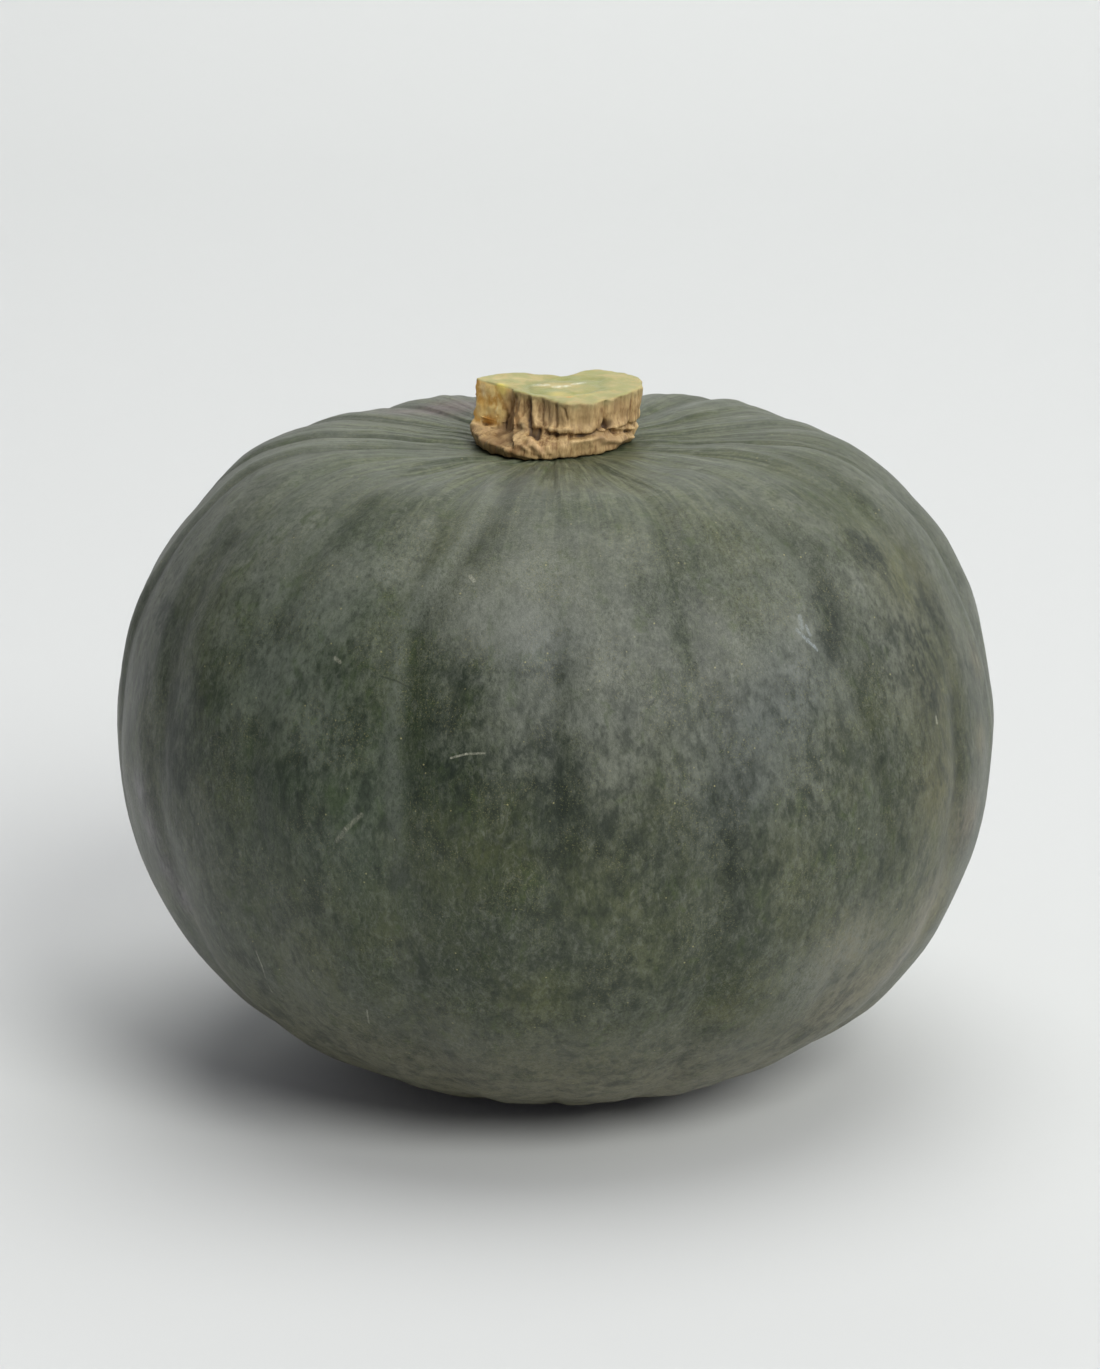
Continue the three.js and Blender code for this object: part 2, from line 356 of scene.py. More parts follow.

# %% [markdown]
# The rind's tone isn't even either. Some places are dark because the bloom is rubbed off,
# and some are pale because it lies thick. Other patches are painted light: pale ones paint
# the sheen on the upper front and the floor's light on the lower belt, and broad dark
# ones paint shade on the left and across the middle. The larger ones in view are listed
# by pixel, with a radius in mm and a strength that is negative for dark. The finish frays them.

# %% Rind: dark and pale patches, with painted light, in view
TONE_AND_LIGHT_PATCHES = [
    (822, 600, 3.5, -1.5), (825, 626, 3.5, -1.8), (831, 648, 3.0, -1.4), (866, 548, 4.0, -2.4),
    (880, 566, 3.0, -0.6), (896, 592, 4.0, -0.5), (890, 625, 4.0, -0.5), (915, 640, 3.0, -0.6),
    (466, 670, 3.5, -0.6), (468, 690, 4.0, -0.6), (440, 720, 4.0, -0.7), (448, 765, 3.5, -0.9),
    (462, 800, 4.0, -0.5), (553, 672, 3.0, -0.6), (520, 668, 2.5, -0.5), (545, 740, 3.0, -0.5),
    (560, 800, 4.5, -0.6), (566, 850, 4.5, -0.6), (478, 560, 2.0, -0.7), (250, 650, 3.5, -0.7),
    (275, 630, 3.0, -0.6), (330, 668, 4.0, -0.5), (360, 655, 3.0, -0.4), (360, 712, 4.5, -0.6),
    (195, 700, 6.0, -0.6), (180, 760, 5.0, -0.6), (225, 760, 6.0, -0.4), (165, 620, 5.0, -0.6),
    (195, 505, 5.0, -0.6), (230, 545, 4.0, -0.4), (716, 795, 3.5, -0.6), (735, 845, 4.5, -0.7),
    (728, 880, 4.0, -0.6), (725, 935, 4.0, -0.5), (770, 870, 3.0, -0.5), (860, 860, 3.5, -0.5),
    (905, 850, 3.0, -0.5), (815, 760, 3.0, -0.4), (880, 760, 3.0, -0.5), (770, 1000, 4.0, -0.4),
    (470, 960, 4.0, -0.3), (300, 830, 8.0, -0.3), (727, 632, 4.0, 0.5), (748, 650, 3.0, 0.5),
    (808, 630, 2.2, 0.9), (545, 570, 9.0, 0.9), (590, 620, 8.0, 0.3), (510, 630, 5.5, 0.8),
    (500, 700, 4.0, 0.5), (620, 700, 7.0, 0.1), (640, 740, 6.0, -0.2), (606, 772, 3.0, 0.5),
    (760, 560, 6.0, 0.3), (820, 520, 5.0, 0.35), (780, 760, 6.0, 0.3), (840, 440, 6.0, 0.4),
    (300, 560, 6.0, 0.3), (340, 580, 6.0, 0.25), (905, 960, 7.0, 0.5), (950, 880, 5.0, 0.5),
    (165, 640, 8.0, -0.3), (165, 760, 9.0, -0.35), (300, 780, 14.0, -0.4), (462, 765, 9.0, -0.4),
    (553, 790, 9.0, -0.45), (680, 830, 13.0, -0.45), (924, 655, 7.0, -1.2), (932, 612, 6.0, -0.9),
    (880, 650, 6.0, -0.6), (932, 705, 6.0, -0.7), (650, 690, 10.0, -0.35), (765, 605, 8.0, 0.5),
    (550, 765, 7.0, -0.35), (450, 590, 6.0, 0.6), (800, 990, 10.0, 1.0), (740, 1050, 8.0, 0.5),
    (860, 940, 9.0, 0.9), (460, 1040, 9.0, 0.5), (640, 1050, 8.0, 0.4), (380, 1010, 8.0, 0.4),
    (300, 990, 7.0, 0.4), (460, 630, 5.0, 0.5), (870, 1000, 7.0, 0.4), (180, 850, 3.5, 0.5),
    (196, 880, 3.5, 0.6), (240, 930, 6.0, 0.3), (560, 1060, 10.0, 0.4),
]
tone = np.zeros(len(skin))
for across, down, reach, strength in TONE_AND_LIGHT_PATCHES:
    place = seen_place(rind, (across, down))
    tone += strength * bell(np.linalg.norm(skin - place, axis=1), reach)
tone = np.clip(tone, -1, 1)
print("patches:", len(TONE_AND_LIGHT_PATCHES))

# %% [markdown]
# The hue changes from place to place too: teal on the left, olive on the right, and a
# touch of purple behind the stalk. These are stains, broad and faint enough that the
# pattern of the rind shows through. Pale rims on both edges are painted reflection of
# the bright studio, and a pale warm patch low on the right is painted floor light.

# %% Rind: stains and painted light in view
RIND_STAINS_AND_LIGHT = [
    ((58, 80, 60), 24.0, 0.30, [(290, 640), (330, 820)]),
    ((88, 94, 97), 10.0, 0.35, [(760, 720), (735, 800), (800, 680), (540, 650)]),
    ((96, 92, 56), 10.0, 0.55, [(905, 580), (935, 680), (940, 790)]),
    # Painted reflection: pale rims along the right and the left edge.
    ((130, 120, 90), 4.0, 0.4, [(976, 660), (982, 740), (972, 820)]),
    ((124, 118, 124), 3.5, 0.6, [(140, 790), (150, 830), (165, 870), (182, 900)]),
    ((112, 92, 98), 5.5, 0.45, [(440, 408), (404, 410), (470, 406)]),
    # Painted floor light low on the right, then painted reflection on its rim.
    ((136, 128, 104), 9.0, 0.45, [(895, 965), (930, 905), (845, 1000), (850, 950)]),
    ((118, 108, 92), 7.0, 0.40, [(965, 820), (972, 860)]),
    ((86, 92, 46), 7.0, 0.30, [(650, 960), (560, 1000), (600, 900)]),
    ((84, 92, 50), 6.0, 0.35, [(860, 520), (900, 580), (930, 660)]),
    ((62, 76, 44), 8.0, 0.35, [(330, 470), (290, 500), (400, 452)]),
]
keep_stains_and_light(rind, skin, RIND_STAINS_AND_LIGHT)
print("rind stains:", len(RIND_STAINS_AND_LIGHT))

# %% [markdown]
# A real rind isn't as even as the solid. Fine wrinkles run out from the stalk like the
# folds of a drawn purse, broad soft dents cross the ribs, and the grain of the skin is a
# little pebbled. Each of these is a noise of its own scale, added along the normal. A
# row of pleats gives a height, a fineness round the stalk, how many degrees down a fold
# holds, and a seed. A row of dents gives a height, a size, how fast it changes upwards,
# and a seed. The ring that the squash rests on is kept as flat as the solid has it.

# %% Rind: wrinkles, dents and grain
PLEATS = [(0.52, 9, 50, 1), (0.36, 22, 30, 2), (0.16, 52, 16, 7)]
DENTS = [(0.75, 21, 1.0, 4), (0.30, 8, 0.6, 5)]
SWIRL = 0.25
SWIRL_END = 60
UNDER_FOLD_HEIGHT = 0.35
GRAIN_HEIGHT = 0.05
SCAR_ROUGHNESS = 0.5
SCAR_DEPTH = 0.4
normals = vertex_array(rind, "normal")
angle = np.radians(longitude)
around = np.stack([np.sin(angle), -np.cos(angle)], 1)
swirl = SWIRL * np.sin(3 * angle + 0.8) * np.clip(1 - polar / SWIRL_END, 0, 1)
swirled = np.stack([np.sin(angle + swirl), -np.cos(angle + swirl)], 1)
near_stalk = smooth_step(radius, 13, 19) * (1 - smooth_step(radius, 34, 78))
near_stalk = near_stalk * (skin[:, 2] > MIDDLE_HEIGHT)
pleats = np.zeros(len(skin))
for height, fineness, hold, seed in PLEATS:
    pleats += height * noise_array(np.column_stack([swirled * fineness, polar / hold]), seed)
under_fold = (1 - smooth_step(skin[:, 2], 4, 34)) * smooth_step(radius, 19, 40)
under_noise = noise_array(np.column_stack([around * 14, polar / 40]), 3)
relief = near_stalk * pleats + crease_relief
relief += under_fold * UNDER_FOLD_HEIGHT * under_noise
off_ring = smooth_step(skin[:, 2], 0.2, 5)
off_ends = off_ring * smooth_step(radius, 16, 26)
for height, size, upward, seed in DENTS:
    relief += off_ends * height * noise_array(skin * np.array([1, 1, upward]) / size, seed)
relief += off_ring * GRAIN_HEIGHT * noise_array(skin / 2.6, 6)
scar = (1 - smooth_step(radius, 5, 8)) * (skin[:, 2] < MIDDLE_HEIGHT)
relief += scar * (SCAR_ROUGHNESS * noise_array(skin / 1.8, 8) - SCAR_DEPTH)
write_vertices(rind, skin + normals * relief[:, None])
select_only(rind)
bpy.ops.object.shade_smooth()
print("rind relief in mm:", round(float(relief.min()), 2), "to", round(float(relief.max()), 2))

# %% [markdown]
# The finish will need some of this again: where a crease gets painted shade and a ridge a
# painted highlight, how far down from the stalk a place lies, where the patches of real
# tone and of painted light are, and the scar.

# %% Rind: masks on the mesh
rind_masks = {
    "groove_shade_band": groove_shade_mask,
    "ridge_highlight": ridge_highlight_mask,
    "down": polar,
    "dark_patch_and_painted_shade": np.clip(-tone, 0, 1),
    "pale_patch_and_painted_light": np.clip(tone, 0, 1),
    "scar": scar,
}
for name, values in rind_masks.items():
    keep_mask(rind, name, values)
print("rind masks:", ", ".join(rind_masks))

# %% [markdown]
# The stalk is a dried, corky stump. A copy of its solid is remeshed to an even fine net,
# which also softens its sharp edges as weathering does. The neck above the skirt is
# filled out a little, because the bark there runs down to the skirt in one slope, and
# the foot is tucked in on the right. What stands out past the knife facet is shaved off.

# %% Stalk: an even net from the solid
STALK_NET = 0.27
SMOOTH_TURNS = 9
NECK_HEIGHT = 137.0
NECK_REACH = 1.5
NECK_FILL = 1.2
RIGHT_TUCK = 2.4
CUT_POINT = np.array([0, 0, 143.9])
CUT_NORMAL = np.array([0, -0.049, 1]) / math.hypot(0.049, 1)
FACET_POINT = np.array([-9.7, -0.8, 144])
FACET_NORMAL = np.array([-0.74, -0.67, 0.1]) / math.hypot(0.74, 0.67, 0.1)
FACET_END = -8.6
FACET_SHAVE = 4
stalk = merged_copy("stem", "stalk")
apply_modifier(stalk, "REMESH", mode="VOXEL", voxel_size=STALK_NET * MM, adaptivity=0)
apply_modifier(stalk, "SMOOTH", factor=0.5, iterations=SMOOTH_TURNS)
body = vertex_array(stalk)
body_normals = vertex_array(stalk, "normal")
upright = 1 - np.abs(body_normals[:, 2]) ** 2
neck = NECK_FILL * bell(body[:, 2] - NECK_HEIGHT, NECK_REACH) * upright
shaped = body + body_normals * neck[:, None]
tuck = RIGHT_TUCK * smooth_step(shaped[:, 0], 7, 17)
shaped[:, 0] -= tuck * (1 - smooth_step(shaped[:, 2], 133.5, 140))
beyond = np.clip((shaped - FACET_POINT) @ FACET_NORMAL, 0, FACET_SHAVE)
beyond = beyond * smooth_step(shaped[:, 2], 133.6, 135.4) * (shaped[:, 0] < FACET_END)
shaped -= beyond[:, None] * FACET_NORMAL
write_vertices(stalk, shaped)
bpy.context.view_layer.update()
print("stalk faces:", len(stalk.data.polygons))

# %% [markdown]
# Three kinds of surface meet on the stalk: the bark, the level saw cut and the slanted
# knife facet. A vertex belongs to a cut where it lies on that cut's plane.

# %% Stalk: masks for its bark, cut and facet
CUT_HEIGHT = 143
FACET_SLANT = 0.34
body = vertex_array(stalk)
body_normals = vertex_array(stalk, "normal")
cut_mask = smooth_step((body - CUT_POINT) @ CUT_NORMAL, -0.45, -0.15)
facet_mask = smooth_step((body - FACET_POINT) @ FACET_NORMAL, -0.5, -0.15)
facet_edge = FACET_END - FACET_SLANT * (CUT_HEIGHT - body[:, 2])
facet_mask *= smooth_step(body[:, 2], 135.2, 136.2) * smooth_step(facet_edge - body[:, 0], -0.5, 0.7)
facet_mask *= 1 - cut_mask
bark_mask = 1 - np.maximum(cut_mask, facet_mask)
shares = [round(float(mask.mean()), 2) for mask in (cut_mask, facet_mask, bark_mask)]
print("cut, facet and bark shares:", shares)

# %% [markdown]
# The bark has dried into furrows, pinches and lips. Those in view follow the
# photograph: each row gives how far a line stands out or sinks in, its half width, and
# its path in pixels. The hidden sides get lines of the same kinds by chance.

# %% Stalk: folds in view
STALK_FOLDS = [
    (-1.0, 0.65, [(529, 402), (528, 418), (531, 434)]),
    (-0.8, 0.75, [(537, 429), (538, 436)]),
    (-0.5, 0.60, [(514, 398), (511, 410), (517, 428)]),
    (0.45, 0.45, [(534, 402), (533, 414), (536, 426)]),
    (0.35, 0.50, [(521, 402), (519, 414), (523, 426)]),
    (0.55, 0.45, [(550, 429), (560, 431), (569, 430)]),
    (-0.55, 0.40, [(549, 433), (560, 434), (569, 434)]),
    (-0.9, 0.60, [(571, 437), (585, 436), (598, 432), (606, 423)]),
    (-0.9, 0.50, [(608, 426), (615, 432), (632, 432)]),
    (0.65, 0.55, [(572, 442), (588, 440), (600, 437)]),
    (0.75, 0.60, [(601, 440), (615, 441), (631, 436)]),
    (0.45, 0.40, [(611, 428), (622, 429), (632, 428)]),
    (0.3, 0.75, [(528, 438), (536, 446), (543, 454)]),
    (0.35, 0.4, [(523, 447), (533, 453), (544, 458)]),
    (-0.55, 0.5, [(523, 441), (530, 450), (539, 457)]),
    (-0.45, 0.5, [(534, 434), (541, 444), (547, 455)]),
    (-0.7, 0.50, [(472, 420), (482, 423), (493, 424)]),
    (0.65, 0.60, [(474, 425), (482, 429), (494, 427)]),
    (-0.45, 0.45, [(496, 434), (501, 443), (509, 446)]),
    (0.35, 0.45, [(506, 450), (522, 455), (536, 458)]),
    (-0.4, 0.40, [(549, 437), (552, 447), (550, 456)]),
    (-0.4, 0.40, [(565, 398), (564, 410), (566, 418)]),
    (-0.35, 0.40, [(606, 400), (604, 412), (605, 424)]),
    (-0.35, 0.35, [(543, 403), (542, 418), (544, 430)]),
    (-0.3, 0.35, [(556, 406), (556, 418), (555, 427)]),
    (0.3, 0.45, [(612, 398), (612, 408), (611, 420)]),
    (-0.3, 0.40, [(621, 396), (620, 408), (622, 420)]),
]
fold_relief = np.zeros(len(body))
for height, half_width, pixels in STALK_FOLDS:
    distance = path_distance(body, seen_path(stalk, pixels))
    fold_relief += height * bell(distance, half_width)
print("folds in view:", len(STALK_FOLDS))

# %% [markdown]
# A hidden fold starts at a chance place round the back. Every third one lies along the
# skirt, and the others run down the bark. One that misses the stalk is left out.

# %% Stalk: folds on the hidden sides
STALK_CENTRE = (1.0, 0.0)
HIDDEN_FOLDS = 30
HIDDEN_FROM = math.radians(72)
HIDDEN_TO = math.radians(288)
rng = random.Random(31)
for index in range(HIDDEN_FOLDS):
    turn = rng.uniform(HIDDEN_FROM, HIDDEN_TO)
    high = rng.uniform(134.5, 141)
    long = rng.uniform(2, 4.5)
    if index % 3 == 0:
        ends = [(turn - 0.16, 135.2), (turn + 0.16, 135.6)]
    else:
        ends = [(turn, high), (turn + 0.04, high - long)]
    places = [side_place(stalk, end[0], end[1], STALK_CENTRE) for end in ends]
    if any(place is None for place in places):
        continue
    height = rng.choice((-0.8, -0.5, 0.5))
    fold_relief += height * bell(path_distance(body, places), rng.uniform(0.4, 0.7))
print("stalk folds in mm:", round(float(fold_relief.min()), 2), "to", round(float(fold_relief.max()), 2))

# %% [markdown]
# Fibres run up the bark, coarse ones with fine ones between, and small pits roughen it.
# The skirt is wavy. Both cut faces dip and swell a little, and the saw cut has dried to
# a shallow ring round its pith. The foot stays as it is, because it meets the rind.

# %% Stalk: fibres, pits and the dished cut
FIBRE_HEIGHT = 0.34
FINE_FIBRE_HEIGHT = 0.11
PIT_HEIGHT = 0.08
SKIRT_HEIGHT = 133.6
SKIRT_WAVE = 0.5
FACE_WAVE = 0.22
FACE_GRAIN = 0.07
FACE_STRETCH = 1.25
RING_RADIUS = 6.5
RING_DEPTH = 0.30
bark_angle = np.arctan2(body[:, 1] - STALK_CENTRE[1], body[:, 0] - STALK_CENTRE[0])
ring_points = np.stack([np.cos(bark_angle), np.sin(bark_angle)], 1)
fibres = noise_array(np.column_stack([ring_points * 11, body[:, 2] / 9]), 11)
fine_fibres = noise_array(np.column_stack([ring_points * 30, body[:, 2] / 5]), 12)
pits = noise_array(body / 0.8, 14)
skirt_noise = noise_array(np.column_stack([ring_points * 5, body[:, 2] / 2.0]), 13)
bark_relief = FIBRE_HEIGHT * fibres + FINE_FIBRE_HEIGHT * fine_fibres + PIT_HEIGHT * pits + fold_relief
bark_relief += bell(body[:, 2] - SKIRT_HEIGHT, 1.3) * SKIRT_WAVE * skirt_noise
from_middle = np.hypot((body[:, 0] - STALK_CENTRE[0]) / FACE_STRETCH, body[:, 1])
face_relief = FACE_WAVE * noise_array(body / 3.2, 15) + FACE_GRAIN * noise_array(body / 0.9, 16)
ring = bell(from_middle - RING_RADIUS + 3 * noise_array(body / 6, 22), 1.6)
face_relief -= RING_DEPTH * ring * cut_mask
off_foot = smooth_step(body[:, 2], 131.4, 132.6)
stalk_relief = off_foot * (bark_mask * bark_relief + (1 - bark_mask) * face_relief)
write_vertices(stalk, body + body_normals * stalk_relief[:, None])
select_only(stalk)
bpy.ops.object.shade_smooth()
bpy.context.view_layer.update()
print("stalk relief in mm:", round(float(stalk_relief.min()), 2), "to", round(float(stalk_relief.max()), 2))


# %% [markdown]
# A finish is built from nodes, and sums of nodes are easier to read as Python. The first
# class wraps a socket, so that a line such as 1 - mask * 0.5 adds the Math nodes itself.
# The second holds a material. Any node comes from one method that takes its type,
# settings and inputs, and a list of shares and colours is laid on as layers, in order.

# %% Shader sums
class Strand:
    def __init__(self, tree, socket):
        self.tree = tree
        self.socket = socket

    def sum(self, operation, first, second):
        return new_node(self.tree, "ShaderNodeMath", {"operation": operation}, {0: first, 1: second})

    def __add__(self, other):
        return self.sum("ADD", self, other)

    def __sub__(self, other):
        return self.sum("SUBTRACT", self, other)

    def __rsub__(self, other):
        return self.sum("SUBTRACT", other, self)

    def __mul__(self, other):
        return self.sum("MULTIPLY", self, other)


def new_node(tree, kind, settings, inputs, output=0):
    node = tree.nodes.new(kind)
    for key, value in settings.items():
        setattr(node, key, value)
    for key, value in inputs.items():
        if isinstance(value, Strand):
            tree.links.new(value.socket, node.inputs[key])
        else:
            node.inputs[key].default_value = value
    return Strand(tree, node.outputs[output])


class Finish:
    def __init__(self, name, **uniform):
        self.material = bpy.data.materials.new(name)
        self.material.use_nodes = True
        self.tree = self.material.node_tree
        self.shader = self.tree.nodes["Principled BSDF"]
        for key, value in uniform.items():
            self.shader.inputs[key.replace("_", " ")].default_value = value
        place = self.node("ShaderNodeTexCoord", {}, {}, "Object")
        self.place = self.vector("SCALE", place, scale=1 / MM)
        parts = self.tree.nodes.new("ShaderNodeSeparateXYZ")
        self.tree.links.new(self.place.socket, parts.inputs[0])
        self.x, self.y, self.z = (Strand(self.tree, socket) for socket in parts.outputs)

    def node(self, kind, settings, inputs, output=0):
        return new_node(self.tree, kind, settings, inputs, output)

    def vector(self, operation, first, second=(0, 0, 0), scale=1.0, output=0):
        inputs = {0: first, "Scale": scale} if operation == "SCALE" else {0: first, 1: second}
        return self.node("ShaderNodeVectorMath", {"operation": operation}, inputs, output)

    def join(self, x, y, z):
        return self.node("ShaderNodeCombineXYZ", {}, {0: x, 1: y, 2: z})

    def mask(self, name, output="Fac"):
        return self.node("ShaderNodeAttribute", {"attribute_name": name}, {}, output)

    def noise(self, place, scale, detail=2.0, roughness=0.5, distortion=0.0):
        inputs = {"Vector": place, "Scale": scale, "Detail": detail, "Roughness": roughness}
        return self.node("ShaderNodeTexNoise", {}, {**inputs, "Distortion": distortion}, "Fac")

    def ramp(self, value, low, high, start=0.0, end=1.0):
        inputs = {"Value": value, "From Min": low, "From Max": high, "To Min": start, "To Max": end}
        return self.node("ShaderNodeMapRange", {"interpolation_type": "SMOOTHSTEP"}, inputs)

    def mix(self, share, first, second):
        return self.node("ShaderNodeMix", {"data_type": "RGBA"}, {0: share, 6: first, 7: second}, 2)

    def lay(self, ground, layers):
        for share, colour in layers:
            ground = self.mix(share, ground, colour)
        return ground

    def drive(self, name, value):
        self.tree.links.new(value.socket, self.shader.inputs[name])

    def bump(self, height, strength, distance):
        inputs = {"Height": height, "Strength": strength, "Distance": distance}
        self.drive("Normal", self.node("ShaderNodeBump", {}, inputs))


# %% [markdown]
# The rind's colour has several layers. Under all is a deep green. Over it lies a greyish
# waxy bloom, rubbed thin below and laid thicker towards the top, partly as the real bloom
# and partly as a painted sheen. Dark flecks a few millimetres long sit in it, fibres and
# wisps break it up, and near the stalk it is drawn into streaks. A streak is noise
# stretched along the ribs, so the finish first works out such places.

# %% Rind finish: places along the ribs
RIB_SPREAD = 60.0
RIB_DROP = 0.12
DRAWN_UP = (1.0, 1.0, 0.6)
skin_finish = Finish("rind_skin", Roughness=0.5, Specular_IOR_Level=0.36)
down = skin_finish.mask("down")
outward = skin_finish.join(skin_finish.x - STALK_X, skin_finish.y, 0.0)
outward = skin_finish.vector("NORMALIZE", outward)
rib_round = skin_finish.vector("SCALE", outward, scale=RIB_SPREAD)
rib_place = skin_finish.vector("ADD", rib_round, skin_finish.join(0.0, 0.0, down * RIB_DROP))
drawn_place = skin_finish.vector("MULTIPLY", skin_finish.place, DRAWN_UP)
ragged_down = down + skin_finish.noise(skin_finish.place, 0.16, 3.0, 0.6) * 24 - 12
near_top = skin_finish.ramp(ragged_down, 22, 59, 1.0, 0.0)
below_top = 1 - near_top

# %% [markdown]
# Each pattern below is a noise with its scale per mm, its detail and its roughness, and
# some are distorted too. A ramp cuts a noise at a soft threshold: it rises from the
# first number to the second.

# %% Rind finish: flecks, wisps and streaks
broad = skin_finish.noise(skin_finish.place, 0.030, 2.0, 0.5)
patches = skin_finish.noise(drawn_place, 0.085, 3.0, 0.6, 0.6)
fleck_noise = skin_finish.noise(drawn_place, 0.34, 4.0, 0.66, 0.2)
small_flecks = skin_finish.noise(drawn_place, 0.9, 3.0, 0.65, 0.3)
wisps = skin_finish.noise(drawn_place, 1.9, 4.0, 0.72, 1.2)
leather = skin_finish.noise(drawn_place, 0.62, 6.0, 0.78, 0.5)
veil_noise = skin_finish.noise(drawn_place, 0.42, 5.0, 0.72, 2.2)
moss_noise = skin_finish.noise(drawn_place, 0.22, 4.0, 0.7, 0.4)
olive_noise = skin_finish.noise(skin_finish.place, 0.05, 3.0, 0.6)
streaks = skin_finish.noise(rib_place, 0.62, 3.0, 0.62)
fine_streaks = skin_finish.noise(rib_place, 1.2, 3.0, 0.65)
flecks = skin_finish.ramp(fleck_noise + patches * 0.5, 0.68, 0.96)
flecks = flecks * skin_finish.ramp(ragged_down, 46, 84, 0.42, 1.0)
small = skin_finish.ramp(small_flecks, 0.46, 0.72) * (1 - near_top * 0.35)
streak = skin_finish.ramp(streaks * 0.5 + fine_streaks * 0.35 + wisps * 0.15, 0.42, 0.60)
streak_rest = skin_finish.ramp(streaks, 0.5, 0.75)
bloom_and_top_sheen = skin_finish.ramp(broad * 0.45 + patches * 0.35 + wisps * 0.2, 0.36, 0.66)
# Bloom is laid thicker towards the top: partly real bloom, partly a painted sheen of the light from above.
bloom_and_top_sheen = bloom_and_top_sheen * (1 - near_top * 0.25) * skin_finish.ramp(skin_finish.z, 64, 108, 0.28, 0.92)
veil = skin_finish.ramp(veil_noise, 0.48, 0.66)
moss = skin_finish.ramp(moss_noise, 0.54, 0.68)
olive = skin_finish.ramp(olive_noise, 0.42, 0.66) * skin_finish.ramp(skin_finish.z, 20, 110, 0.7, 0.35)
broken = skin_finish.ramp(small_flecks * 0.5 + wisps * 0.5, 0.38, 0.62, 0.25, 1.0)
frayed = skin_finish.ramp(fleck_noise * 0.6 + small_flecks * 0.4, 0.38, 0.60, 0.35, 1.0)
print("rind patterns:", len(skin_finish.tree.nodes), "nodes")

# %% [markdown]
# The layers are laid on from the ground up. Each has a share between 0 and 1, which the
# patterns and the masks make uneven, and a colour. A number at the end of a share is how
# strong that layer may get.

# %% Rind finish: colour layers
DEEP_GREEN = paint(26, 35, 20)
MID_GREEN = paint(62, 71, 44)
OLIVE = paint(74, 78, 40)
BLOOM = paint(121, 125, 115)
FLECK = paint(20, 31, 20)
RIDGE_HIGHLIGHT = paint(108, 114, 104)
STREAK_PALE = paint(118, 125, 92)
STREAK_DARK = paint(46, 58, 32)
MOSS = paint(62, 76, 34)
UNDER_PALE_AND_FLOOR_LIGHT = paint(130, 126, 102)
ground = skin_finish.mix(skin_finish.ramp(wisps, 0.3, 0.7), DEEP_GREEN, MID_GREEN)
skin_colour = skin_finish.lay(ground, [
    (olive, OLIVE),
    (bloom_and_top_sheen, BLOOM),
    (veil * below_top * 0.30, BLOOM),
    # Paler towards the bottom: partly the paler underside, partly painted light thrown up from the floor.
    (skin_finish.ramp(skin_finish.z, 42, 2, 0.0, 0.85), UNDER_PALE_AND_FLOOR_LIGHT),
    (near_top * streak * 0.55, STREAK_PALE),
    (near_top * (1 - streak) * 0.5, STREAK_DARK),
    (below_top * streak_rest * 0.09, BLOOM),
    (moss * 0.5, MOSS),
    (skin_finish.mask("stain_and_light_share"), skin_finish.mask("stain_and_light", "Color")),
    (skin_finish.ramp(leather, 0.50, 0.68) * 0.30, BLOOM),
    (skin_finish.ramp(leather, 0.50, 0.34) * 0.35, DEEP_GREEN),
    (flecks * 0.68, FLECK),
    (small * 0.48, FLECK),
    # Painted highlight on the lit side of each ridge, and painted shade in each crease and the band beside
    # it.
    (skin_finish.mask("ridge_highlight") * broken * 0.6, RIDGE_HIGHLIGHT),
    (skin_finish.mask("groove_shade_band") * (1.3 - broken) * 0.6, FLECK),
    # Dark patches are partly rubbed bloom and partly painted shade; pale ones are partly thick bloom and
    # partly painted sheen and floor light.
    (skin_finish.mask("dark_patch_and_painted_shade") * frayed * 0.9, FLECK),
    (skin_finish.mask("pale_patch_and_painted_light") * broken * 0.6, BLOOM),
])

# %% [markdown]
# Tiny straw-coloured specks are scattered over the whole rind. Each is the middle of a
# cell of a Voronoi pattern, and a second noise leaves most of the cells empty. A finer
# dust of straw lies in places, and the blossom scar underneath is corky.

# %% Rind finish: specks, dust and the blossom scar
SPECK = paint(150, 146, 104)
SCAR = paint(150, 132, 100)
STRAW = paint(128, 126, 84)
cell_inputs = {"Vector": skin_finish.place, "Scale": 0.42}
cells = skin_finish.node("ShaderNodeTexVoronoi", {"feature": "F1"}, cell_inputs, "Distance")
speck = skin_finish.ramp(cells, 0.10, 0.05)
speck = speck * skin_finish.ramp(skin_finish.noise(skin_finish.place, 0.4), 0.52, 0.60)
dust = skin_finish.ramp(skin_finish.noise(skin_finish.place, 3.2, 2.0, 0.6), 0.56, 0.70)
dust = dust * skin_finish.ramp(skin_finish.noise(skin_finish.place, 0.09, 2.0, 0.5), 0.40, 0.62)
skin_colour = skin_finish.lay(skin_colour, [
    (dust * 0.42, STRAW),
    (speck * 0.7, SPECK),
    (skin_finish.mask("scar") * 0.85, SCAR),
])

# %% [markdown]
# The rind has picked up a few scratches and scuffs. A scratch is drawn in the finish,
# because it is finer than the mesh: the distance to a short line between two places. A
# row gives its colour, its half width in mm, its strength and its path in pixels.

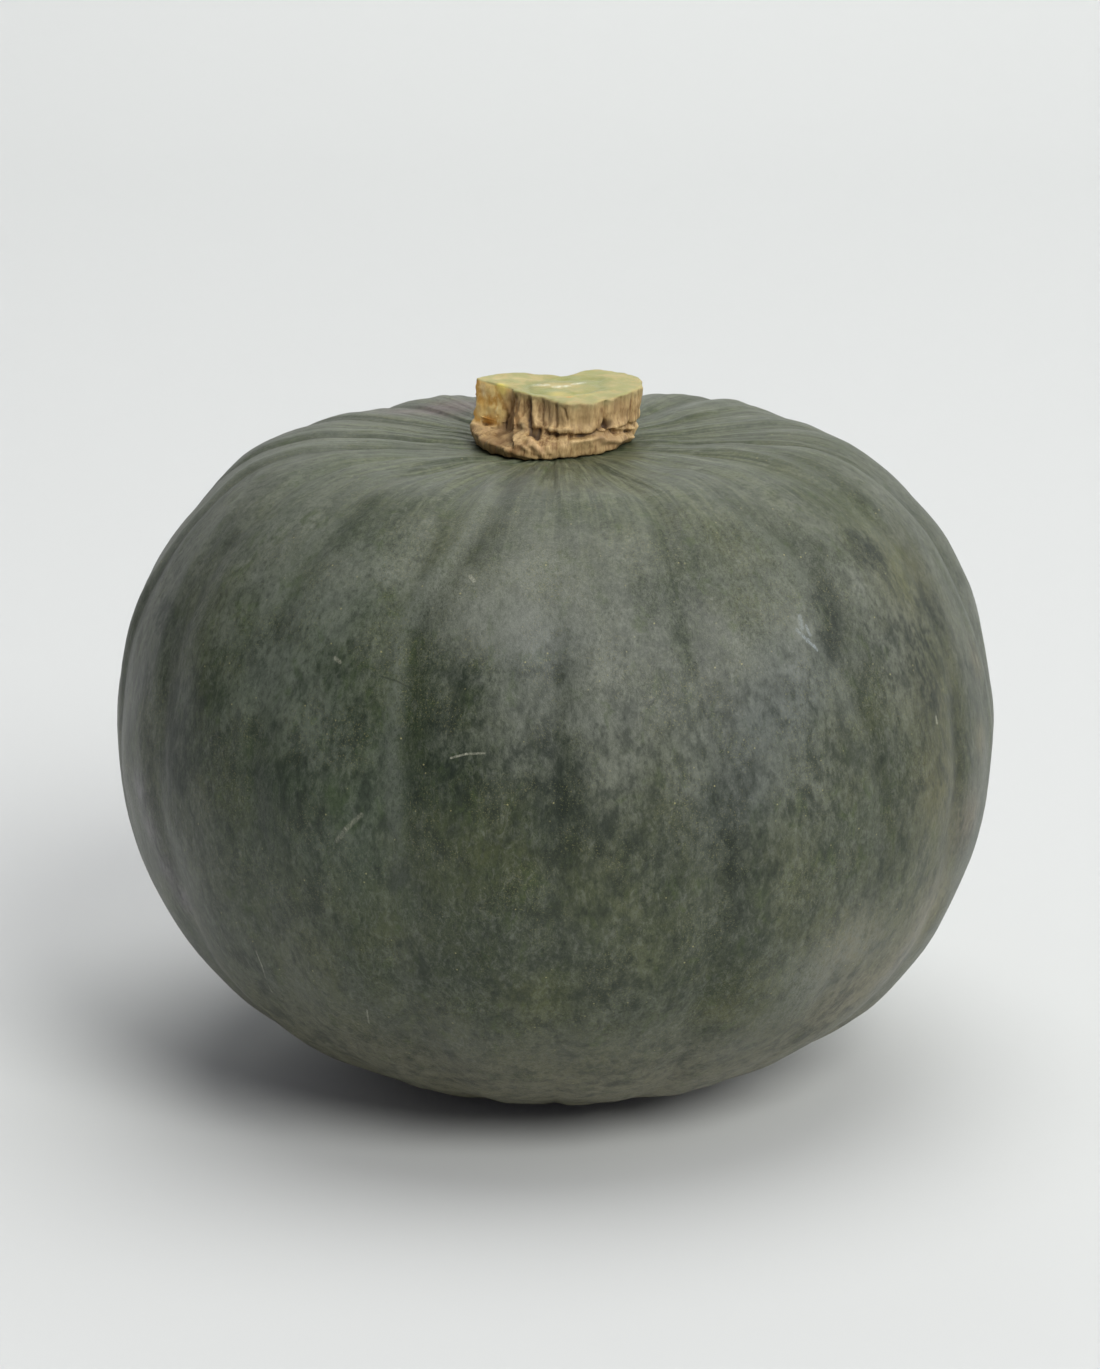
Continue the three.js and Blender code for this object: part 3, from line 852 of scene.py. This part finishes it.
# %% Rind finish: scratches and scuffs
SCRATCH_PALE = paint(168, 168, 150)
SCRATCH_DARK = paint(30, 34, 28)
SCUFF = paint(140, 150, 152)
SCRATCHES = [
    (SCRATCH_PALE, 0.2, 0.55, [(451, 758), (466, 754), (485, 753)]),
    (SCRATCH_DARK, 0.18, 0.6, [(380, 676), (394, 680), (411, 688)]),
    (SCRATCH_PALE, 0.45, 0.3, [(337, 841), (346, 829), (361, 815)]),
    (SCRATCH_PALE, 0.35, 0.5, [(335, 658), (340, 662)]),
    (SCUFF, 0.5, 0.45, [(800, 617), (802, 628)]),
    (SCUFF, 0.35, 0.45, [(797, 630), (804, 637), (809, 640)]),
    (SCUFF, 0.3, 0.6, [(806, 626), (810, 635)]),
    (SCUFF, 0.3, 0.65, [(807, 641), (814, 646), (817, 650)]),
    (SCRATCH_PALE, 0.18, 0.5, [(256, 951), (262, 966), (272, 992)]),
    (SCRATCH_PALE, 0.18, 0.5, [(367, 1010), (369, 1023)]),
    (SCRATCH_PALE, 0.3, 0.6, [(936, 717), (937, 723)]),
    (SCRATCH_PALE, 0.35, 0.45, [(470, 576), (474, 581)]),
]
fray = skin_finish.ramp(wisps, 0.42, 0.58, 0.35, 1.0)


def scratch_mask(start, end, half_width):
    along = Vector(end) - Vector(start)
    offset = skin_finish.vector("SUBTRACT", skin_finish.place, tuple(start))
    share = skin_finish.vector("DOT_PRODUCT", offset, tuple(along / along.length_squared), output="Value")
    share = skin_finish.node("ShaderNodeClamp", {}, {"Value": share})
    closest = skin_finish.vector("MULTIPLY", skin_finish.join(share, share, share), tuple(along))
    gap = skin_finish.vector("DISTANCE", offset, closest, output="Value")
    return skin_finish.ramp(gap, half_width * 1.5, half_width * 0.4)


for colour, half_width, strength, pixels in SCRATCHES:
    places = seen_path(rind, pixels)
    for start, end in zip(places[:-1], places[1:]):
        share = scratch_mask(start, end, half_width) * fray * strength
        skin_colour = skin_finish.mix(share, skin_colour, colour)
skin_finish.drive("Base Color", skin_colour)
print("scratches:", len(SCRATCHES))

# %% [markdown]
# The same patterns give the skin its grain, and make it glossier where the bloom is
# thin. Gloss is a matter of roughness here, and a lower number shines more.

# %% Rind finish: grain and gloss
GRAIN_STRENGTH = 0.30
GRAIN_DEPTH = 0.4 * MM
GLOSSY = 0.37
DULL = 0.52
grain = wisps * 0.5 + small_flecks * 0.7 + fleck_noise * 0.9 + streak * near_top
skin_finish.bump(grain, GRAIN_STRENGTH, GRAIN_DEPTH)
dullness = bloom_and_top_sheen * 0.6 + wisps * 0.4
skin_finish.drive("Roughness", skin_finish.ramp(dullness, 0.1, 0.7, GLOSSY, DULL))
rind.data.materials.append(skin_finish.material)
print("rind nodes:", len(skin_finish.tree.nodes))

# %% [markdown]
# The stalk has three finishes in one: tan corky bark with furrows painted dark as painted
# shade and ridges painted pale as painted highlights, the fresh pale green of the saw cut
# with a greener ring and painted glints along its wet sap, and the amber of the dried knife
# facet, made bright enough that it is partly painted light for the facet's glow. What the
# shaping worked out is kept on the mesh as masks for the finish.

# %% Stalk masks on the mesh
RIM_HEIGHT = 143.2
DARK_RING_RADIUS = 6.2
WET_WIDTH = 0.6
WET_GLINT_LINES = [[(537, 385), (547, 385)], [(555, 387), (568, 386)], [(574, 384), (582, 383)]]
sunken = -(fold_relief + 0.5 * fibres + 0.25 * fine_fibres) * 1.2
raised = (fold_relief + 0.5 * fibres + 0.3 * fine_fibres) * 1.2
ring_gap = from_middle - DARK_RING_RADIUS + 5.0 * noise_array(body / 6, 21)
wet_and_glint = sum(bell(path_distance(body, seen_path(stalk, line)), WET_WIDTH) for line in WET_GLINT_LINES)
stalk_masks = {
    "cut": cut_mask,
    "facet": facet_mask,
    # Painted shade fills what is sunken and a painted highlight lies on what is raised.
    "furrow_shade": np.clip(sunken, 0, 1) * bark_mask,
    "lit": np.clip(raised, 0, 1) * bark_mask,
    "rim": bell(body[:, 2] - RIM_HEIGHT, 1.1) * bark_mask,
    "ring": bell(ring_gap, 1.5) * cut_mask,
    "wet_and_glint": np.clip(wet_and_glint, 0, 1) * cut_mask,
}
for name, values in stalk_masks.items():
    keep_mask(stalk, name, values)
print("stalk masks:", ", ".join(stalk_masks))

# %% [markdown]
# Stains have soaked into the bark and the cuts of the stalk. Some rows are painted light
# instead: pale ones paint highlights on the lips of the folds, and near-black ones paint
# shade in the pits and furrows. They are rows of the same kind as the rind's, and smaller.

# %% Stalk stains and painted light
# Near-black rows in pits and furrows are painted shade, and pale rows on the lips of the folds are painted
# highlights; the rest are stains.
STALK_STAINS_AND_LIGHT = [
    ((176, 138, 90), 1.9, 0.75, [(508, 397), (512, 410), (518, 420)]),
    ((194, 166, 124), 1.5, 0.6, [(545, 411), (551, 419)]),
    ((96, 84, 56), 0.8, 0.7, [(522, 424), (522, 430)]),
    ((174, 148, 104), 1.7, 0.7, [(580, 408), (590, 412), (582, 420)]),
    ((150, 144, 100), 0.9, 0.7, [(545, 396), (560, 403), (576, 406), (592, 404), (606, 401)]),
    ((104, 76, 42), 2.4, 0.95, [(502, 434), (513, 440), (498, 443)]),
    ((88, 62, 36), 1.2, 0.8, [(508, 430), (520, 448)]),
    ((128, 98, 62), 1.8, 0.85, [(484, 440), (494, 449), (512, 453)]),
    ((132, 104, 74), 1.8, 0.75, [(602, 438), (614, 440), (626, 438)]),
    ((196, 162, 120), 1.2, 0.7, [(531, 441), (538, 448)]),
    ((190, 156, 116), 1.0, 0.6, [(476, 427), (486, 430), (500, 429)]),
    ((72, 52, 34), 0.9, 0.8, [(604, 425), (609, 423)]),
    ((74, 60, 38), 0.8, 0.8, [(537, 433)]),
    ((128, 98, 66), 1.6, 0.5, [(616, 404), (624, 414)]),
    ((232, 214, 96), 1.1, 0.75, [(500, 385), (503, 390)]),
    ((232, 176, 78), 0.9, 0.7, [(482, 401), (484, 407)]),
    ((206, 146, 58), 1.0, 0.75, [(492, 417), (489, 421)]),
    ((240, 222, 170), 0.8, 0.7, [(482, 386), (484, 393)]),
    ((228, 202, 140), 1.0, 0.6, [(478, 408), (480, 414)]),
    ((136, 140, 72), 1.3, 0.6, [(560, 378), (572, 377), (583, 376)]),
    ((138, 144, 76), 1.4, 0.65, [(590, 372), (604, 373), (545, 390)]),
    ((198, 184, 132), 1.3, 0.6, [(498, 379), (518, 378), (612, 386)]),
    ((166, 134, 100), 0.6, 0.7, [(530, 374), (546, 374)]),
    ((196, 184, 112), 1.5, 0.7, [(556, 394), (572, 396), (588, 394)]),
    ((206, 146, 66), 0.65, 0.95, [(569, 397)]),
]
keep_stains_and_light(stalk, vertex_array(stalk), STALK_STAINS_AND_LIGHT)
print("stalk stains:", len(STALK_STAINS_AND_LIGHT))

# %% [markdown]
# Bark is noise stretched upwards, from dark through tan to pale. What is raised is
# painted pale as a painted highlight, what is sunken is painted dark as painted shade,
# and a trace of green is left under the rim of the cut.

# %% Stalk finish: bark
BARK = paint(176, 147, 100)
BARK_PALE = paint(210, 183, 133)
BARK_DARK = paint(122, 90, 54)
BARK_SHADE_BLACK = paint(56, 42, 30)
BARK_GREEN = paint(140, 136, 90)
FIBRES_UP = (1.0, 1.0, 0.22)
cork = Finish("stalk_cork", Roughness=0.8, Specular_IOR_Level=0.35)
cork_grain = cork.noise(cork.vector("MULTIPLY", cork.place, FIBRES_UP), 1.5, 4.0, 0.7)
cork_tone = cork.noise(cork.place, 0.22, 3.0, 0.6)
bark_ground = cork.mix(cork.ramp(cork_grain, 0.36, 0.56), BARK_DARK, BARK)
bark_colour = cork.lay(bark_ground, [
    (cork.ramp(cork_grain, 0.52, 0.68) * 0.8, BARK_PALE),
    (cork.ramp(cork_tone, 0.4, 0.65) * 0.4, BARK_PALE),
    (cork.mask("lit") * 0.75, BARK_PALE),
    (cork.mask("furrow_shade") * 0.65, BARK_DARK),
    (cork.ramp(cork.mask("furrow_shade"), 0.5, 1.0) * 0.8, BARK_SHADE_BLACK),
    (cork.mask("rim") * 0.5, BARK_GREEN),
])

# %% [markdown]
# The two cut faces are laid over the bark where their masks say, then the stains, and
# last a painted glint along the lines of wet sap, which also get a lower roughness so the cut shines.

# %% Stalk finish: cut and facet
CUT_PALE = paint(158, 156, 104)
CUT_GREEN = paint(126, 132, 64)
CUT_YELLOW = paint(178, 164, 112)
PAINTED_GLINT = paint(214, 216, 186)
# The amber is brighter than a dried facet: partly its own colour, partly painted light for the facet's
# glow.
AMBER = paint(252, 220, 144)
AMBER_DEEP = paint(214, 162, 78)
AMBER_PALE = paint(250, 236, 186)
DRY = 0.58
WET = 0.15
mottle = cork.noise(cork.place, 0.35, 3.0, 0.6)
cut_ground = cork.mix(cork.ramp(mottle, 0.4, 0.65), CUT_PALE, CUT_YELLOW)
cut_colour = cork.mix(cork.mask("ring") * 0.75, cut_ground, CUT_GREEN)
amber_ground = cork.mix(cork.ramp(mottle, 0.4, 0.62), AMBER, AMBER_DEEP)
amber_colour = cork.mix(cork.ramp(cork_grain, 0.55, 0.75) * 0.7, amber_ground, AMBER_PALE)
uneven = cork.ramp(cork_grain * 0.5 + mottle * 0.5, 0.36, 0.6, 0.6, 1.0)
gleam = cork.ramp(cork_grain, 0.4, 0.6, 0.2, 0.7)
stalk_colour = cork.lay(bark_colour, [
    (cork.mask("facet"), amber_colour),
    (cork.mask("cut"), cut_colour),
    (cork.mask("stain_and_light_share") * uneven, cork.mask("stain_and_light", "Color")),
    # Painted glints on the wet sap lines.
    (cork.mask("wet_and_glint") * gleam, PAINTED_GLINT),
])
cork.drive("Base Color", stalk_colour)
wetness = cork.mask("ring") * 0.5 + cork.mask("wet_and_glint")
cork.drive("Roughness", cork.ramp(wetness, 0.0, 1.0, DRY, WET))
cork.bump(cork_grain, 0.35, 0.3 * MM)
stalk.data.materials.append(cork.material)
print("stalk nodes:", len(cork.tree.nodes))

# %% [markdown]
# The studio is a pale sheet that runs back and curves up behind the squash, so there is
# no horizon. It starts as a flat floor, and its back edge is spun upwards.

# %% Studio
FLOOR_SIZE = 6.0
SWEEP_START = 1.2
SWEEP_RADIUS = 0.9
SWEEP_STEPS = 24
BACK_RISE = 3
SHEET_COLOUR = (0.630, 0.650, 0.648, 1)
SHEET_ROUGHNESS = 0.9
floor_depth = FLOOR_SIZE / 2 + SWEEP_START
bpy.ops.mesh.primitive_plane_add(size=1, location=(0, 0, 0))
floor = bpy.context.object
floor.name = "studio_floor"
floor.scale = (FLOOR_SIZE, floor_depth, 1)
floor.location = (0, SWEEP_START - floor_depth / 2, 0)
bpy.ops.object.transform_apply(location=True, rotation=False, scale=True)
bpy.ops.object.mode_set(mode="EDIT")
bpy.ops.mesh.select_all(action="DESELECT")
bpy.ops.object.mode_set(mode="OBJECT")
for edge in floor.data.edges:
    edge.select = all(floor.data.vertices[i].co.y > SWEEP_START - 0.01 for i in edge.vertices)
bpy.ops.object.mode_set(mode="EDIT")
bpy.ops.mesh.select_mode(type="EDGE")
sweep_centre = (0, SWEEP_START, SWEEP_RADIUS)
bpy.ops.mesh.spin(steps=SWEEP_STEPS, angle=-math.pi / 2, center=sweep_centre, axis=(1, 0, 0))
bpy.ops.mesh.extrude_region_move(TRANSFORM_OT_translate={"value": (0, 0, BACK_RISE)})
bpy.ops.object.mode_set(mode="OBJECT")
bpy.ops.object.shade_smooth()
sheet = bpy.data.materials.new("studio_sheet")
sheet.use_nodes = True
sheet_shader = sheet.node_tree.nodes["Principled BSDF"]
sheet_shader.inputs["Base Color"].default_value = SHEET_COLOUR
sheet_shader.inputs["Roughness"].default_value = SHEET_ROUGHNESS
floor.data.materials.append(sheet)
highest = max(vertex.co.z for vertex in floor.data.vertices)
print("studio sheet rises to", round(highest, 2))

# %% [markdown]
# Broad lamps give the soft shadow of the photograph, which lies mostly to the left. One
# hangs overhead, the strongest stands high in front on the right, a weaker one stands on
# the right, and a small one brightens the sheet behind. A row gives a lamp's name, place
# and width in metres, power in watts, colour, and what it points at.

# %% Lamps
SQUASH = (0, 0, 0.07)
SHEET_BEHIND = (0, 1.8, 0)
LAMPS = [
    ("roof_lamp", (0.22, 0.16, 2.5), 2.3, 37, (1.0, 0.99, 0.955), SQUASH),
    ("front_lamp", (1.70, -2.90, 2.59), 2.1, 120, (1.0, 0.99, 0.95), SQUASH),
    ("right_lamp", (3.3, 0.75, 1.65), 2.1, 22, (1.0, 1.0, 0.96), SQUASH),
    ("back_lamp", (0, 1.8, 1.2), 0.6, 2.6, (1.0, 1.0, 0.93), SHEET_BEHIND),
]
for name, place, width, power, colour, target in LAMPS:
    lamp_data = bpy.data.lights.new(name, "AREA")
    lamp_data.shape = "DISK"
    lamp_data.size = width
    lamp_data.energy = power
    lamp_data.color = colour
    lamp = bpy.data.objects.new(name, lamp_data)
    lamp.location = place
    lamp.rotation_euler = (Vector(place) - Vector(target)).to_track_quat("Z", "Y").to_euler()
    bpy.context.collection.objects.link(lamp)
print("lamps:", len(LAMPS))

# %% [markdown]
# The air fills the shadows. It is brighter on the right than on the left, so its colour
# is a ramp across the sky.

# %% Air
AIR_LEFT = (0.55, 0.53, 0.62, 1)
AIR_RIGHT = (1.38, 1.32, 1.52, 1)
AIR_STRENGTH = 0.26
world = bpy.data.worlds.new("studio_air")
bpy.context.scene.world = world
world.use_nodes = True
sky = world.node_tree
sides = sky.nodes.new("ShaderNodeSeparateXYZ")
sky.links.new(sky.nodes.new("ShaderNodeTexCoord").outputs["Generated"], sides.inputs[0])
ramp_inputs = {"Value": Strand(sky, sides.outputs[0]), "From Min": -0.7, "From Max": 0.8}
from_right = new_node(sky, "ShaderNodeMapRange", {}, ramp_inputs)
mix_inputs = {0: from_right, 6: AIR_LEFT, 7: AIR_RIGHT}
air_colour = new_node(sky, "ShaderNodeMix", {"data_type": "RGBA"}, mix_inputs, 2)
sky.links.new(air_colour.socket, sky.nodes["Background"].inputs["Color"])
sky.nodes["Background"].inputs["Strength"].default_value = AIR_STRENGTH
bpy.context.scene.view_settings.view_transform = "Standard"
print("air nodes:", len(sky.nodes))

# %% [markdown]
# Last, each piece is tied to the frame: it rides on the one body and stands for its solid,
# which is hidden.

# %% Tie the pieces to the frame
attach(rind, "root")
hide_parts("fruit")
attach(stalk, "root")
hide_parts("stem")
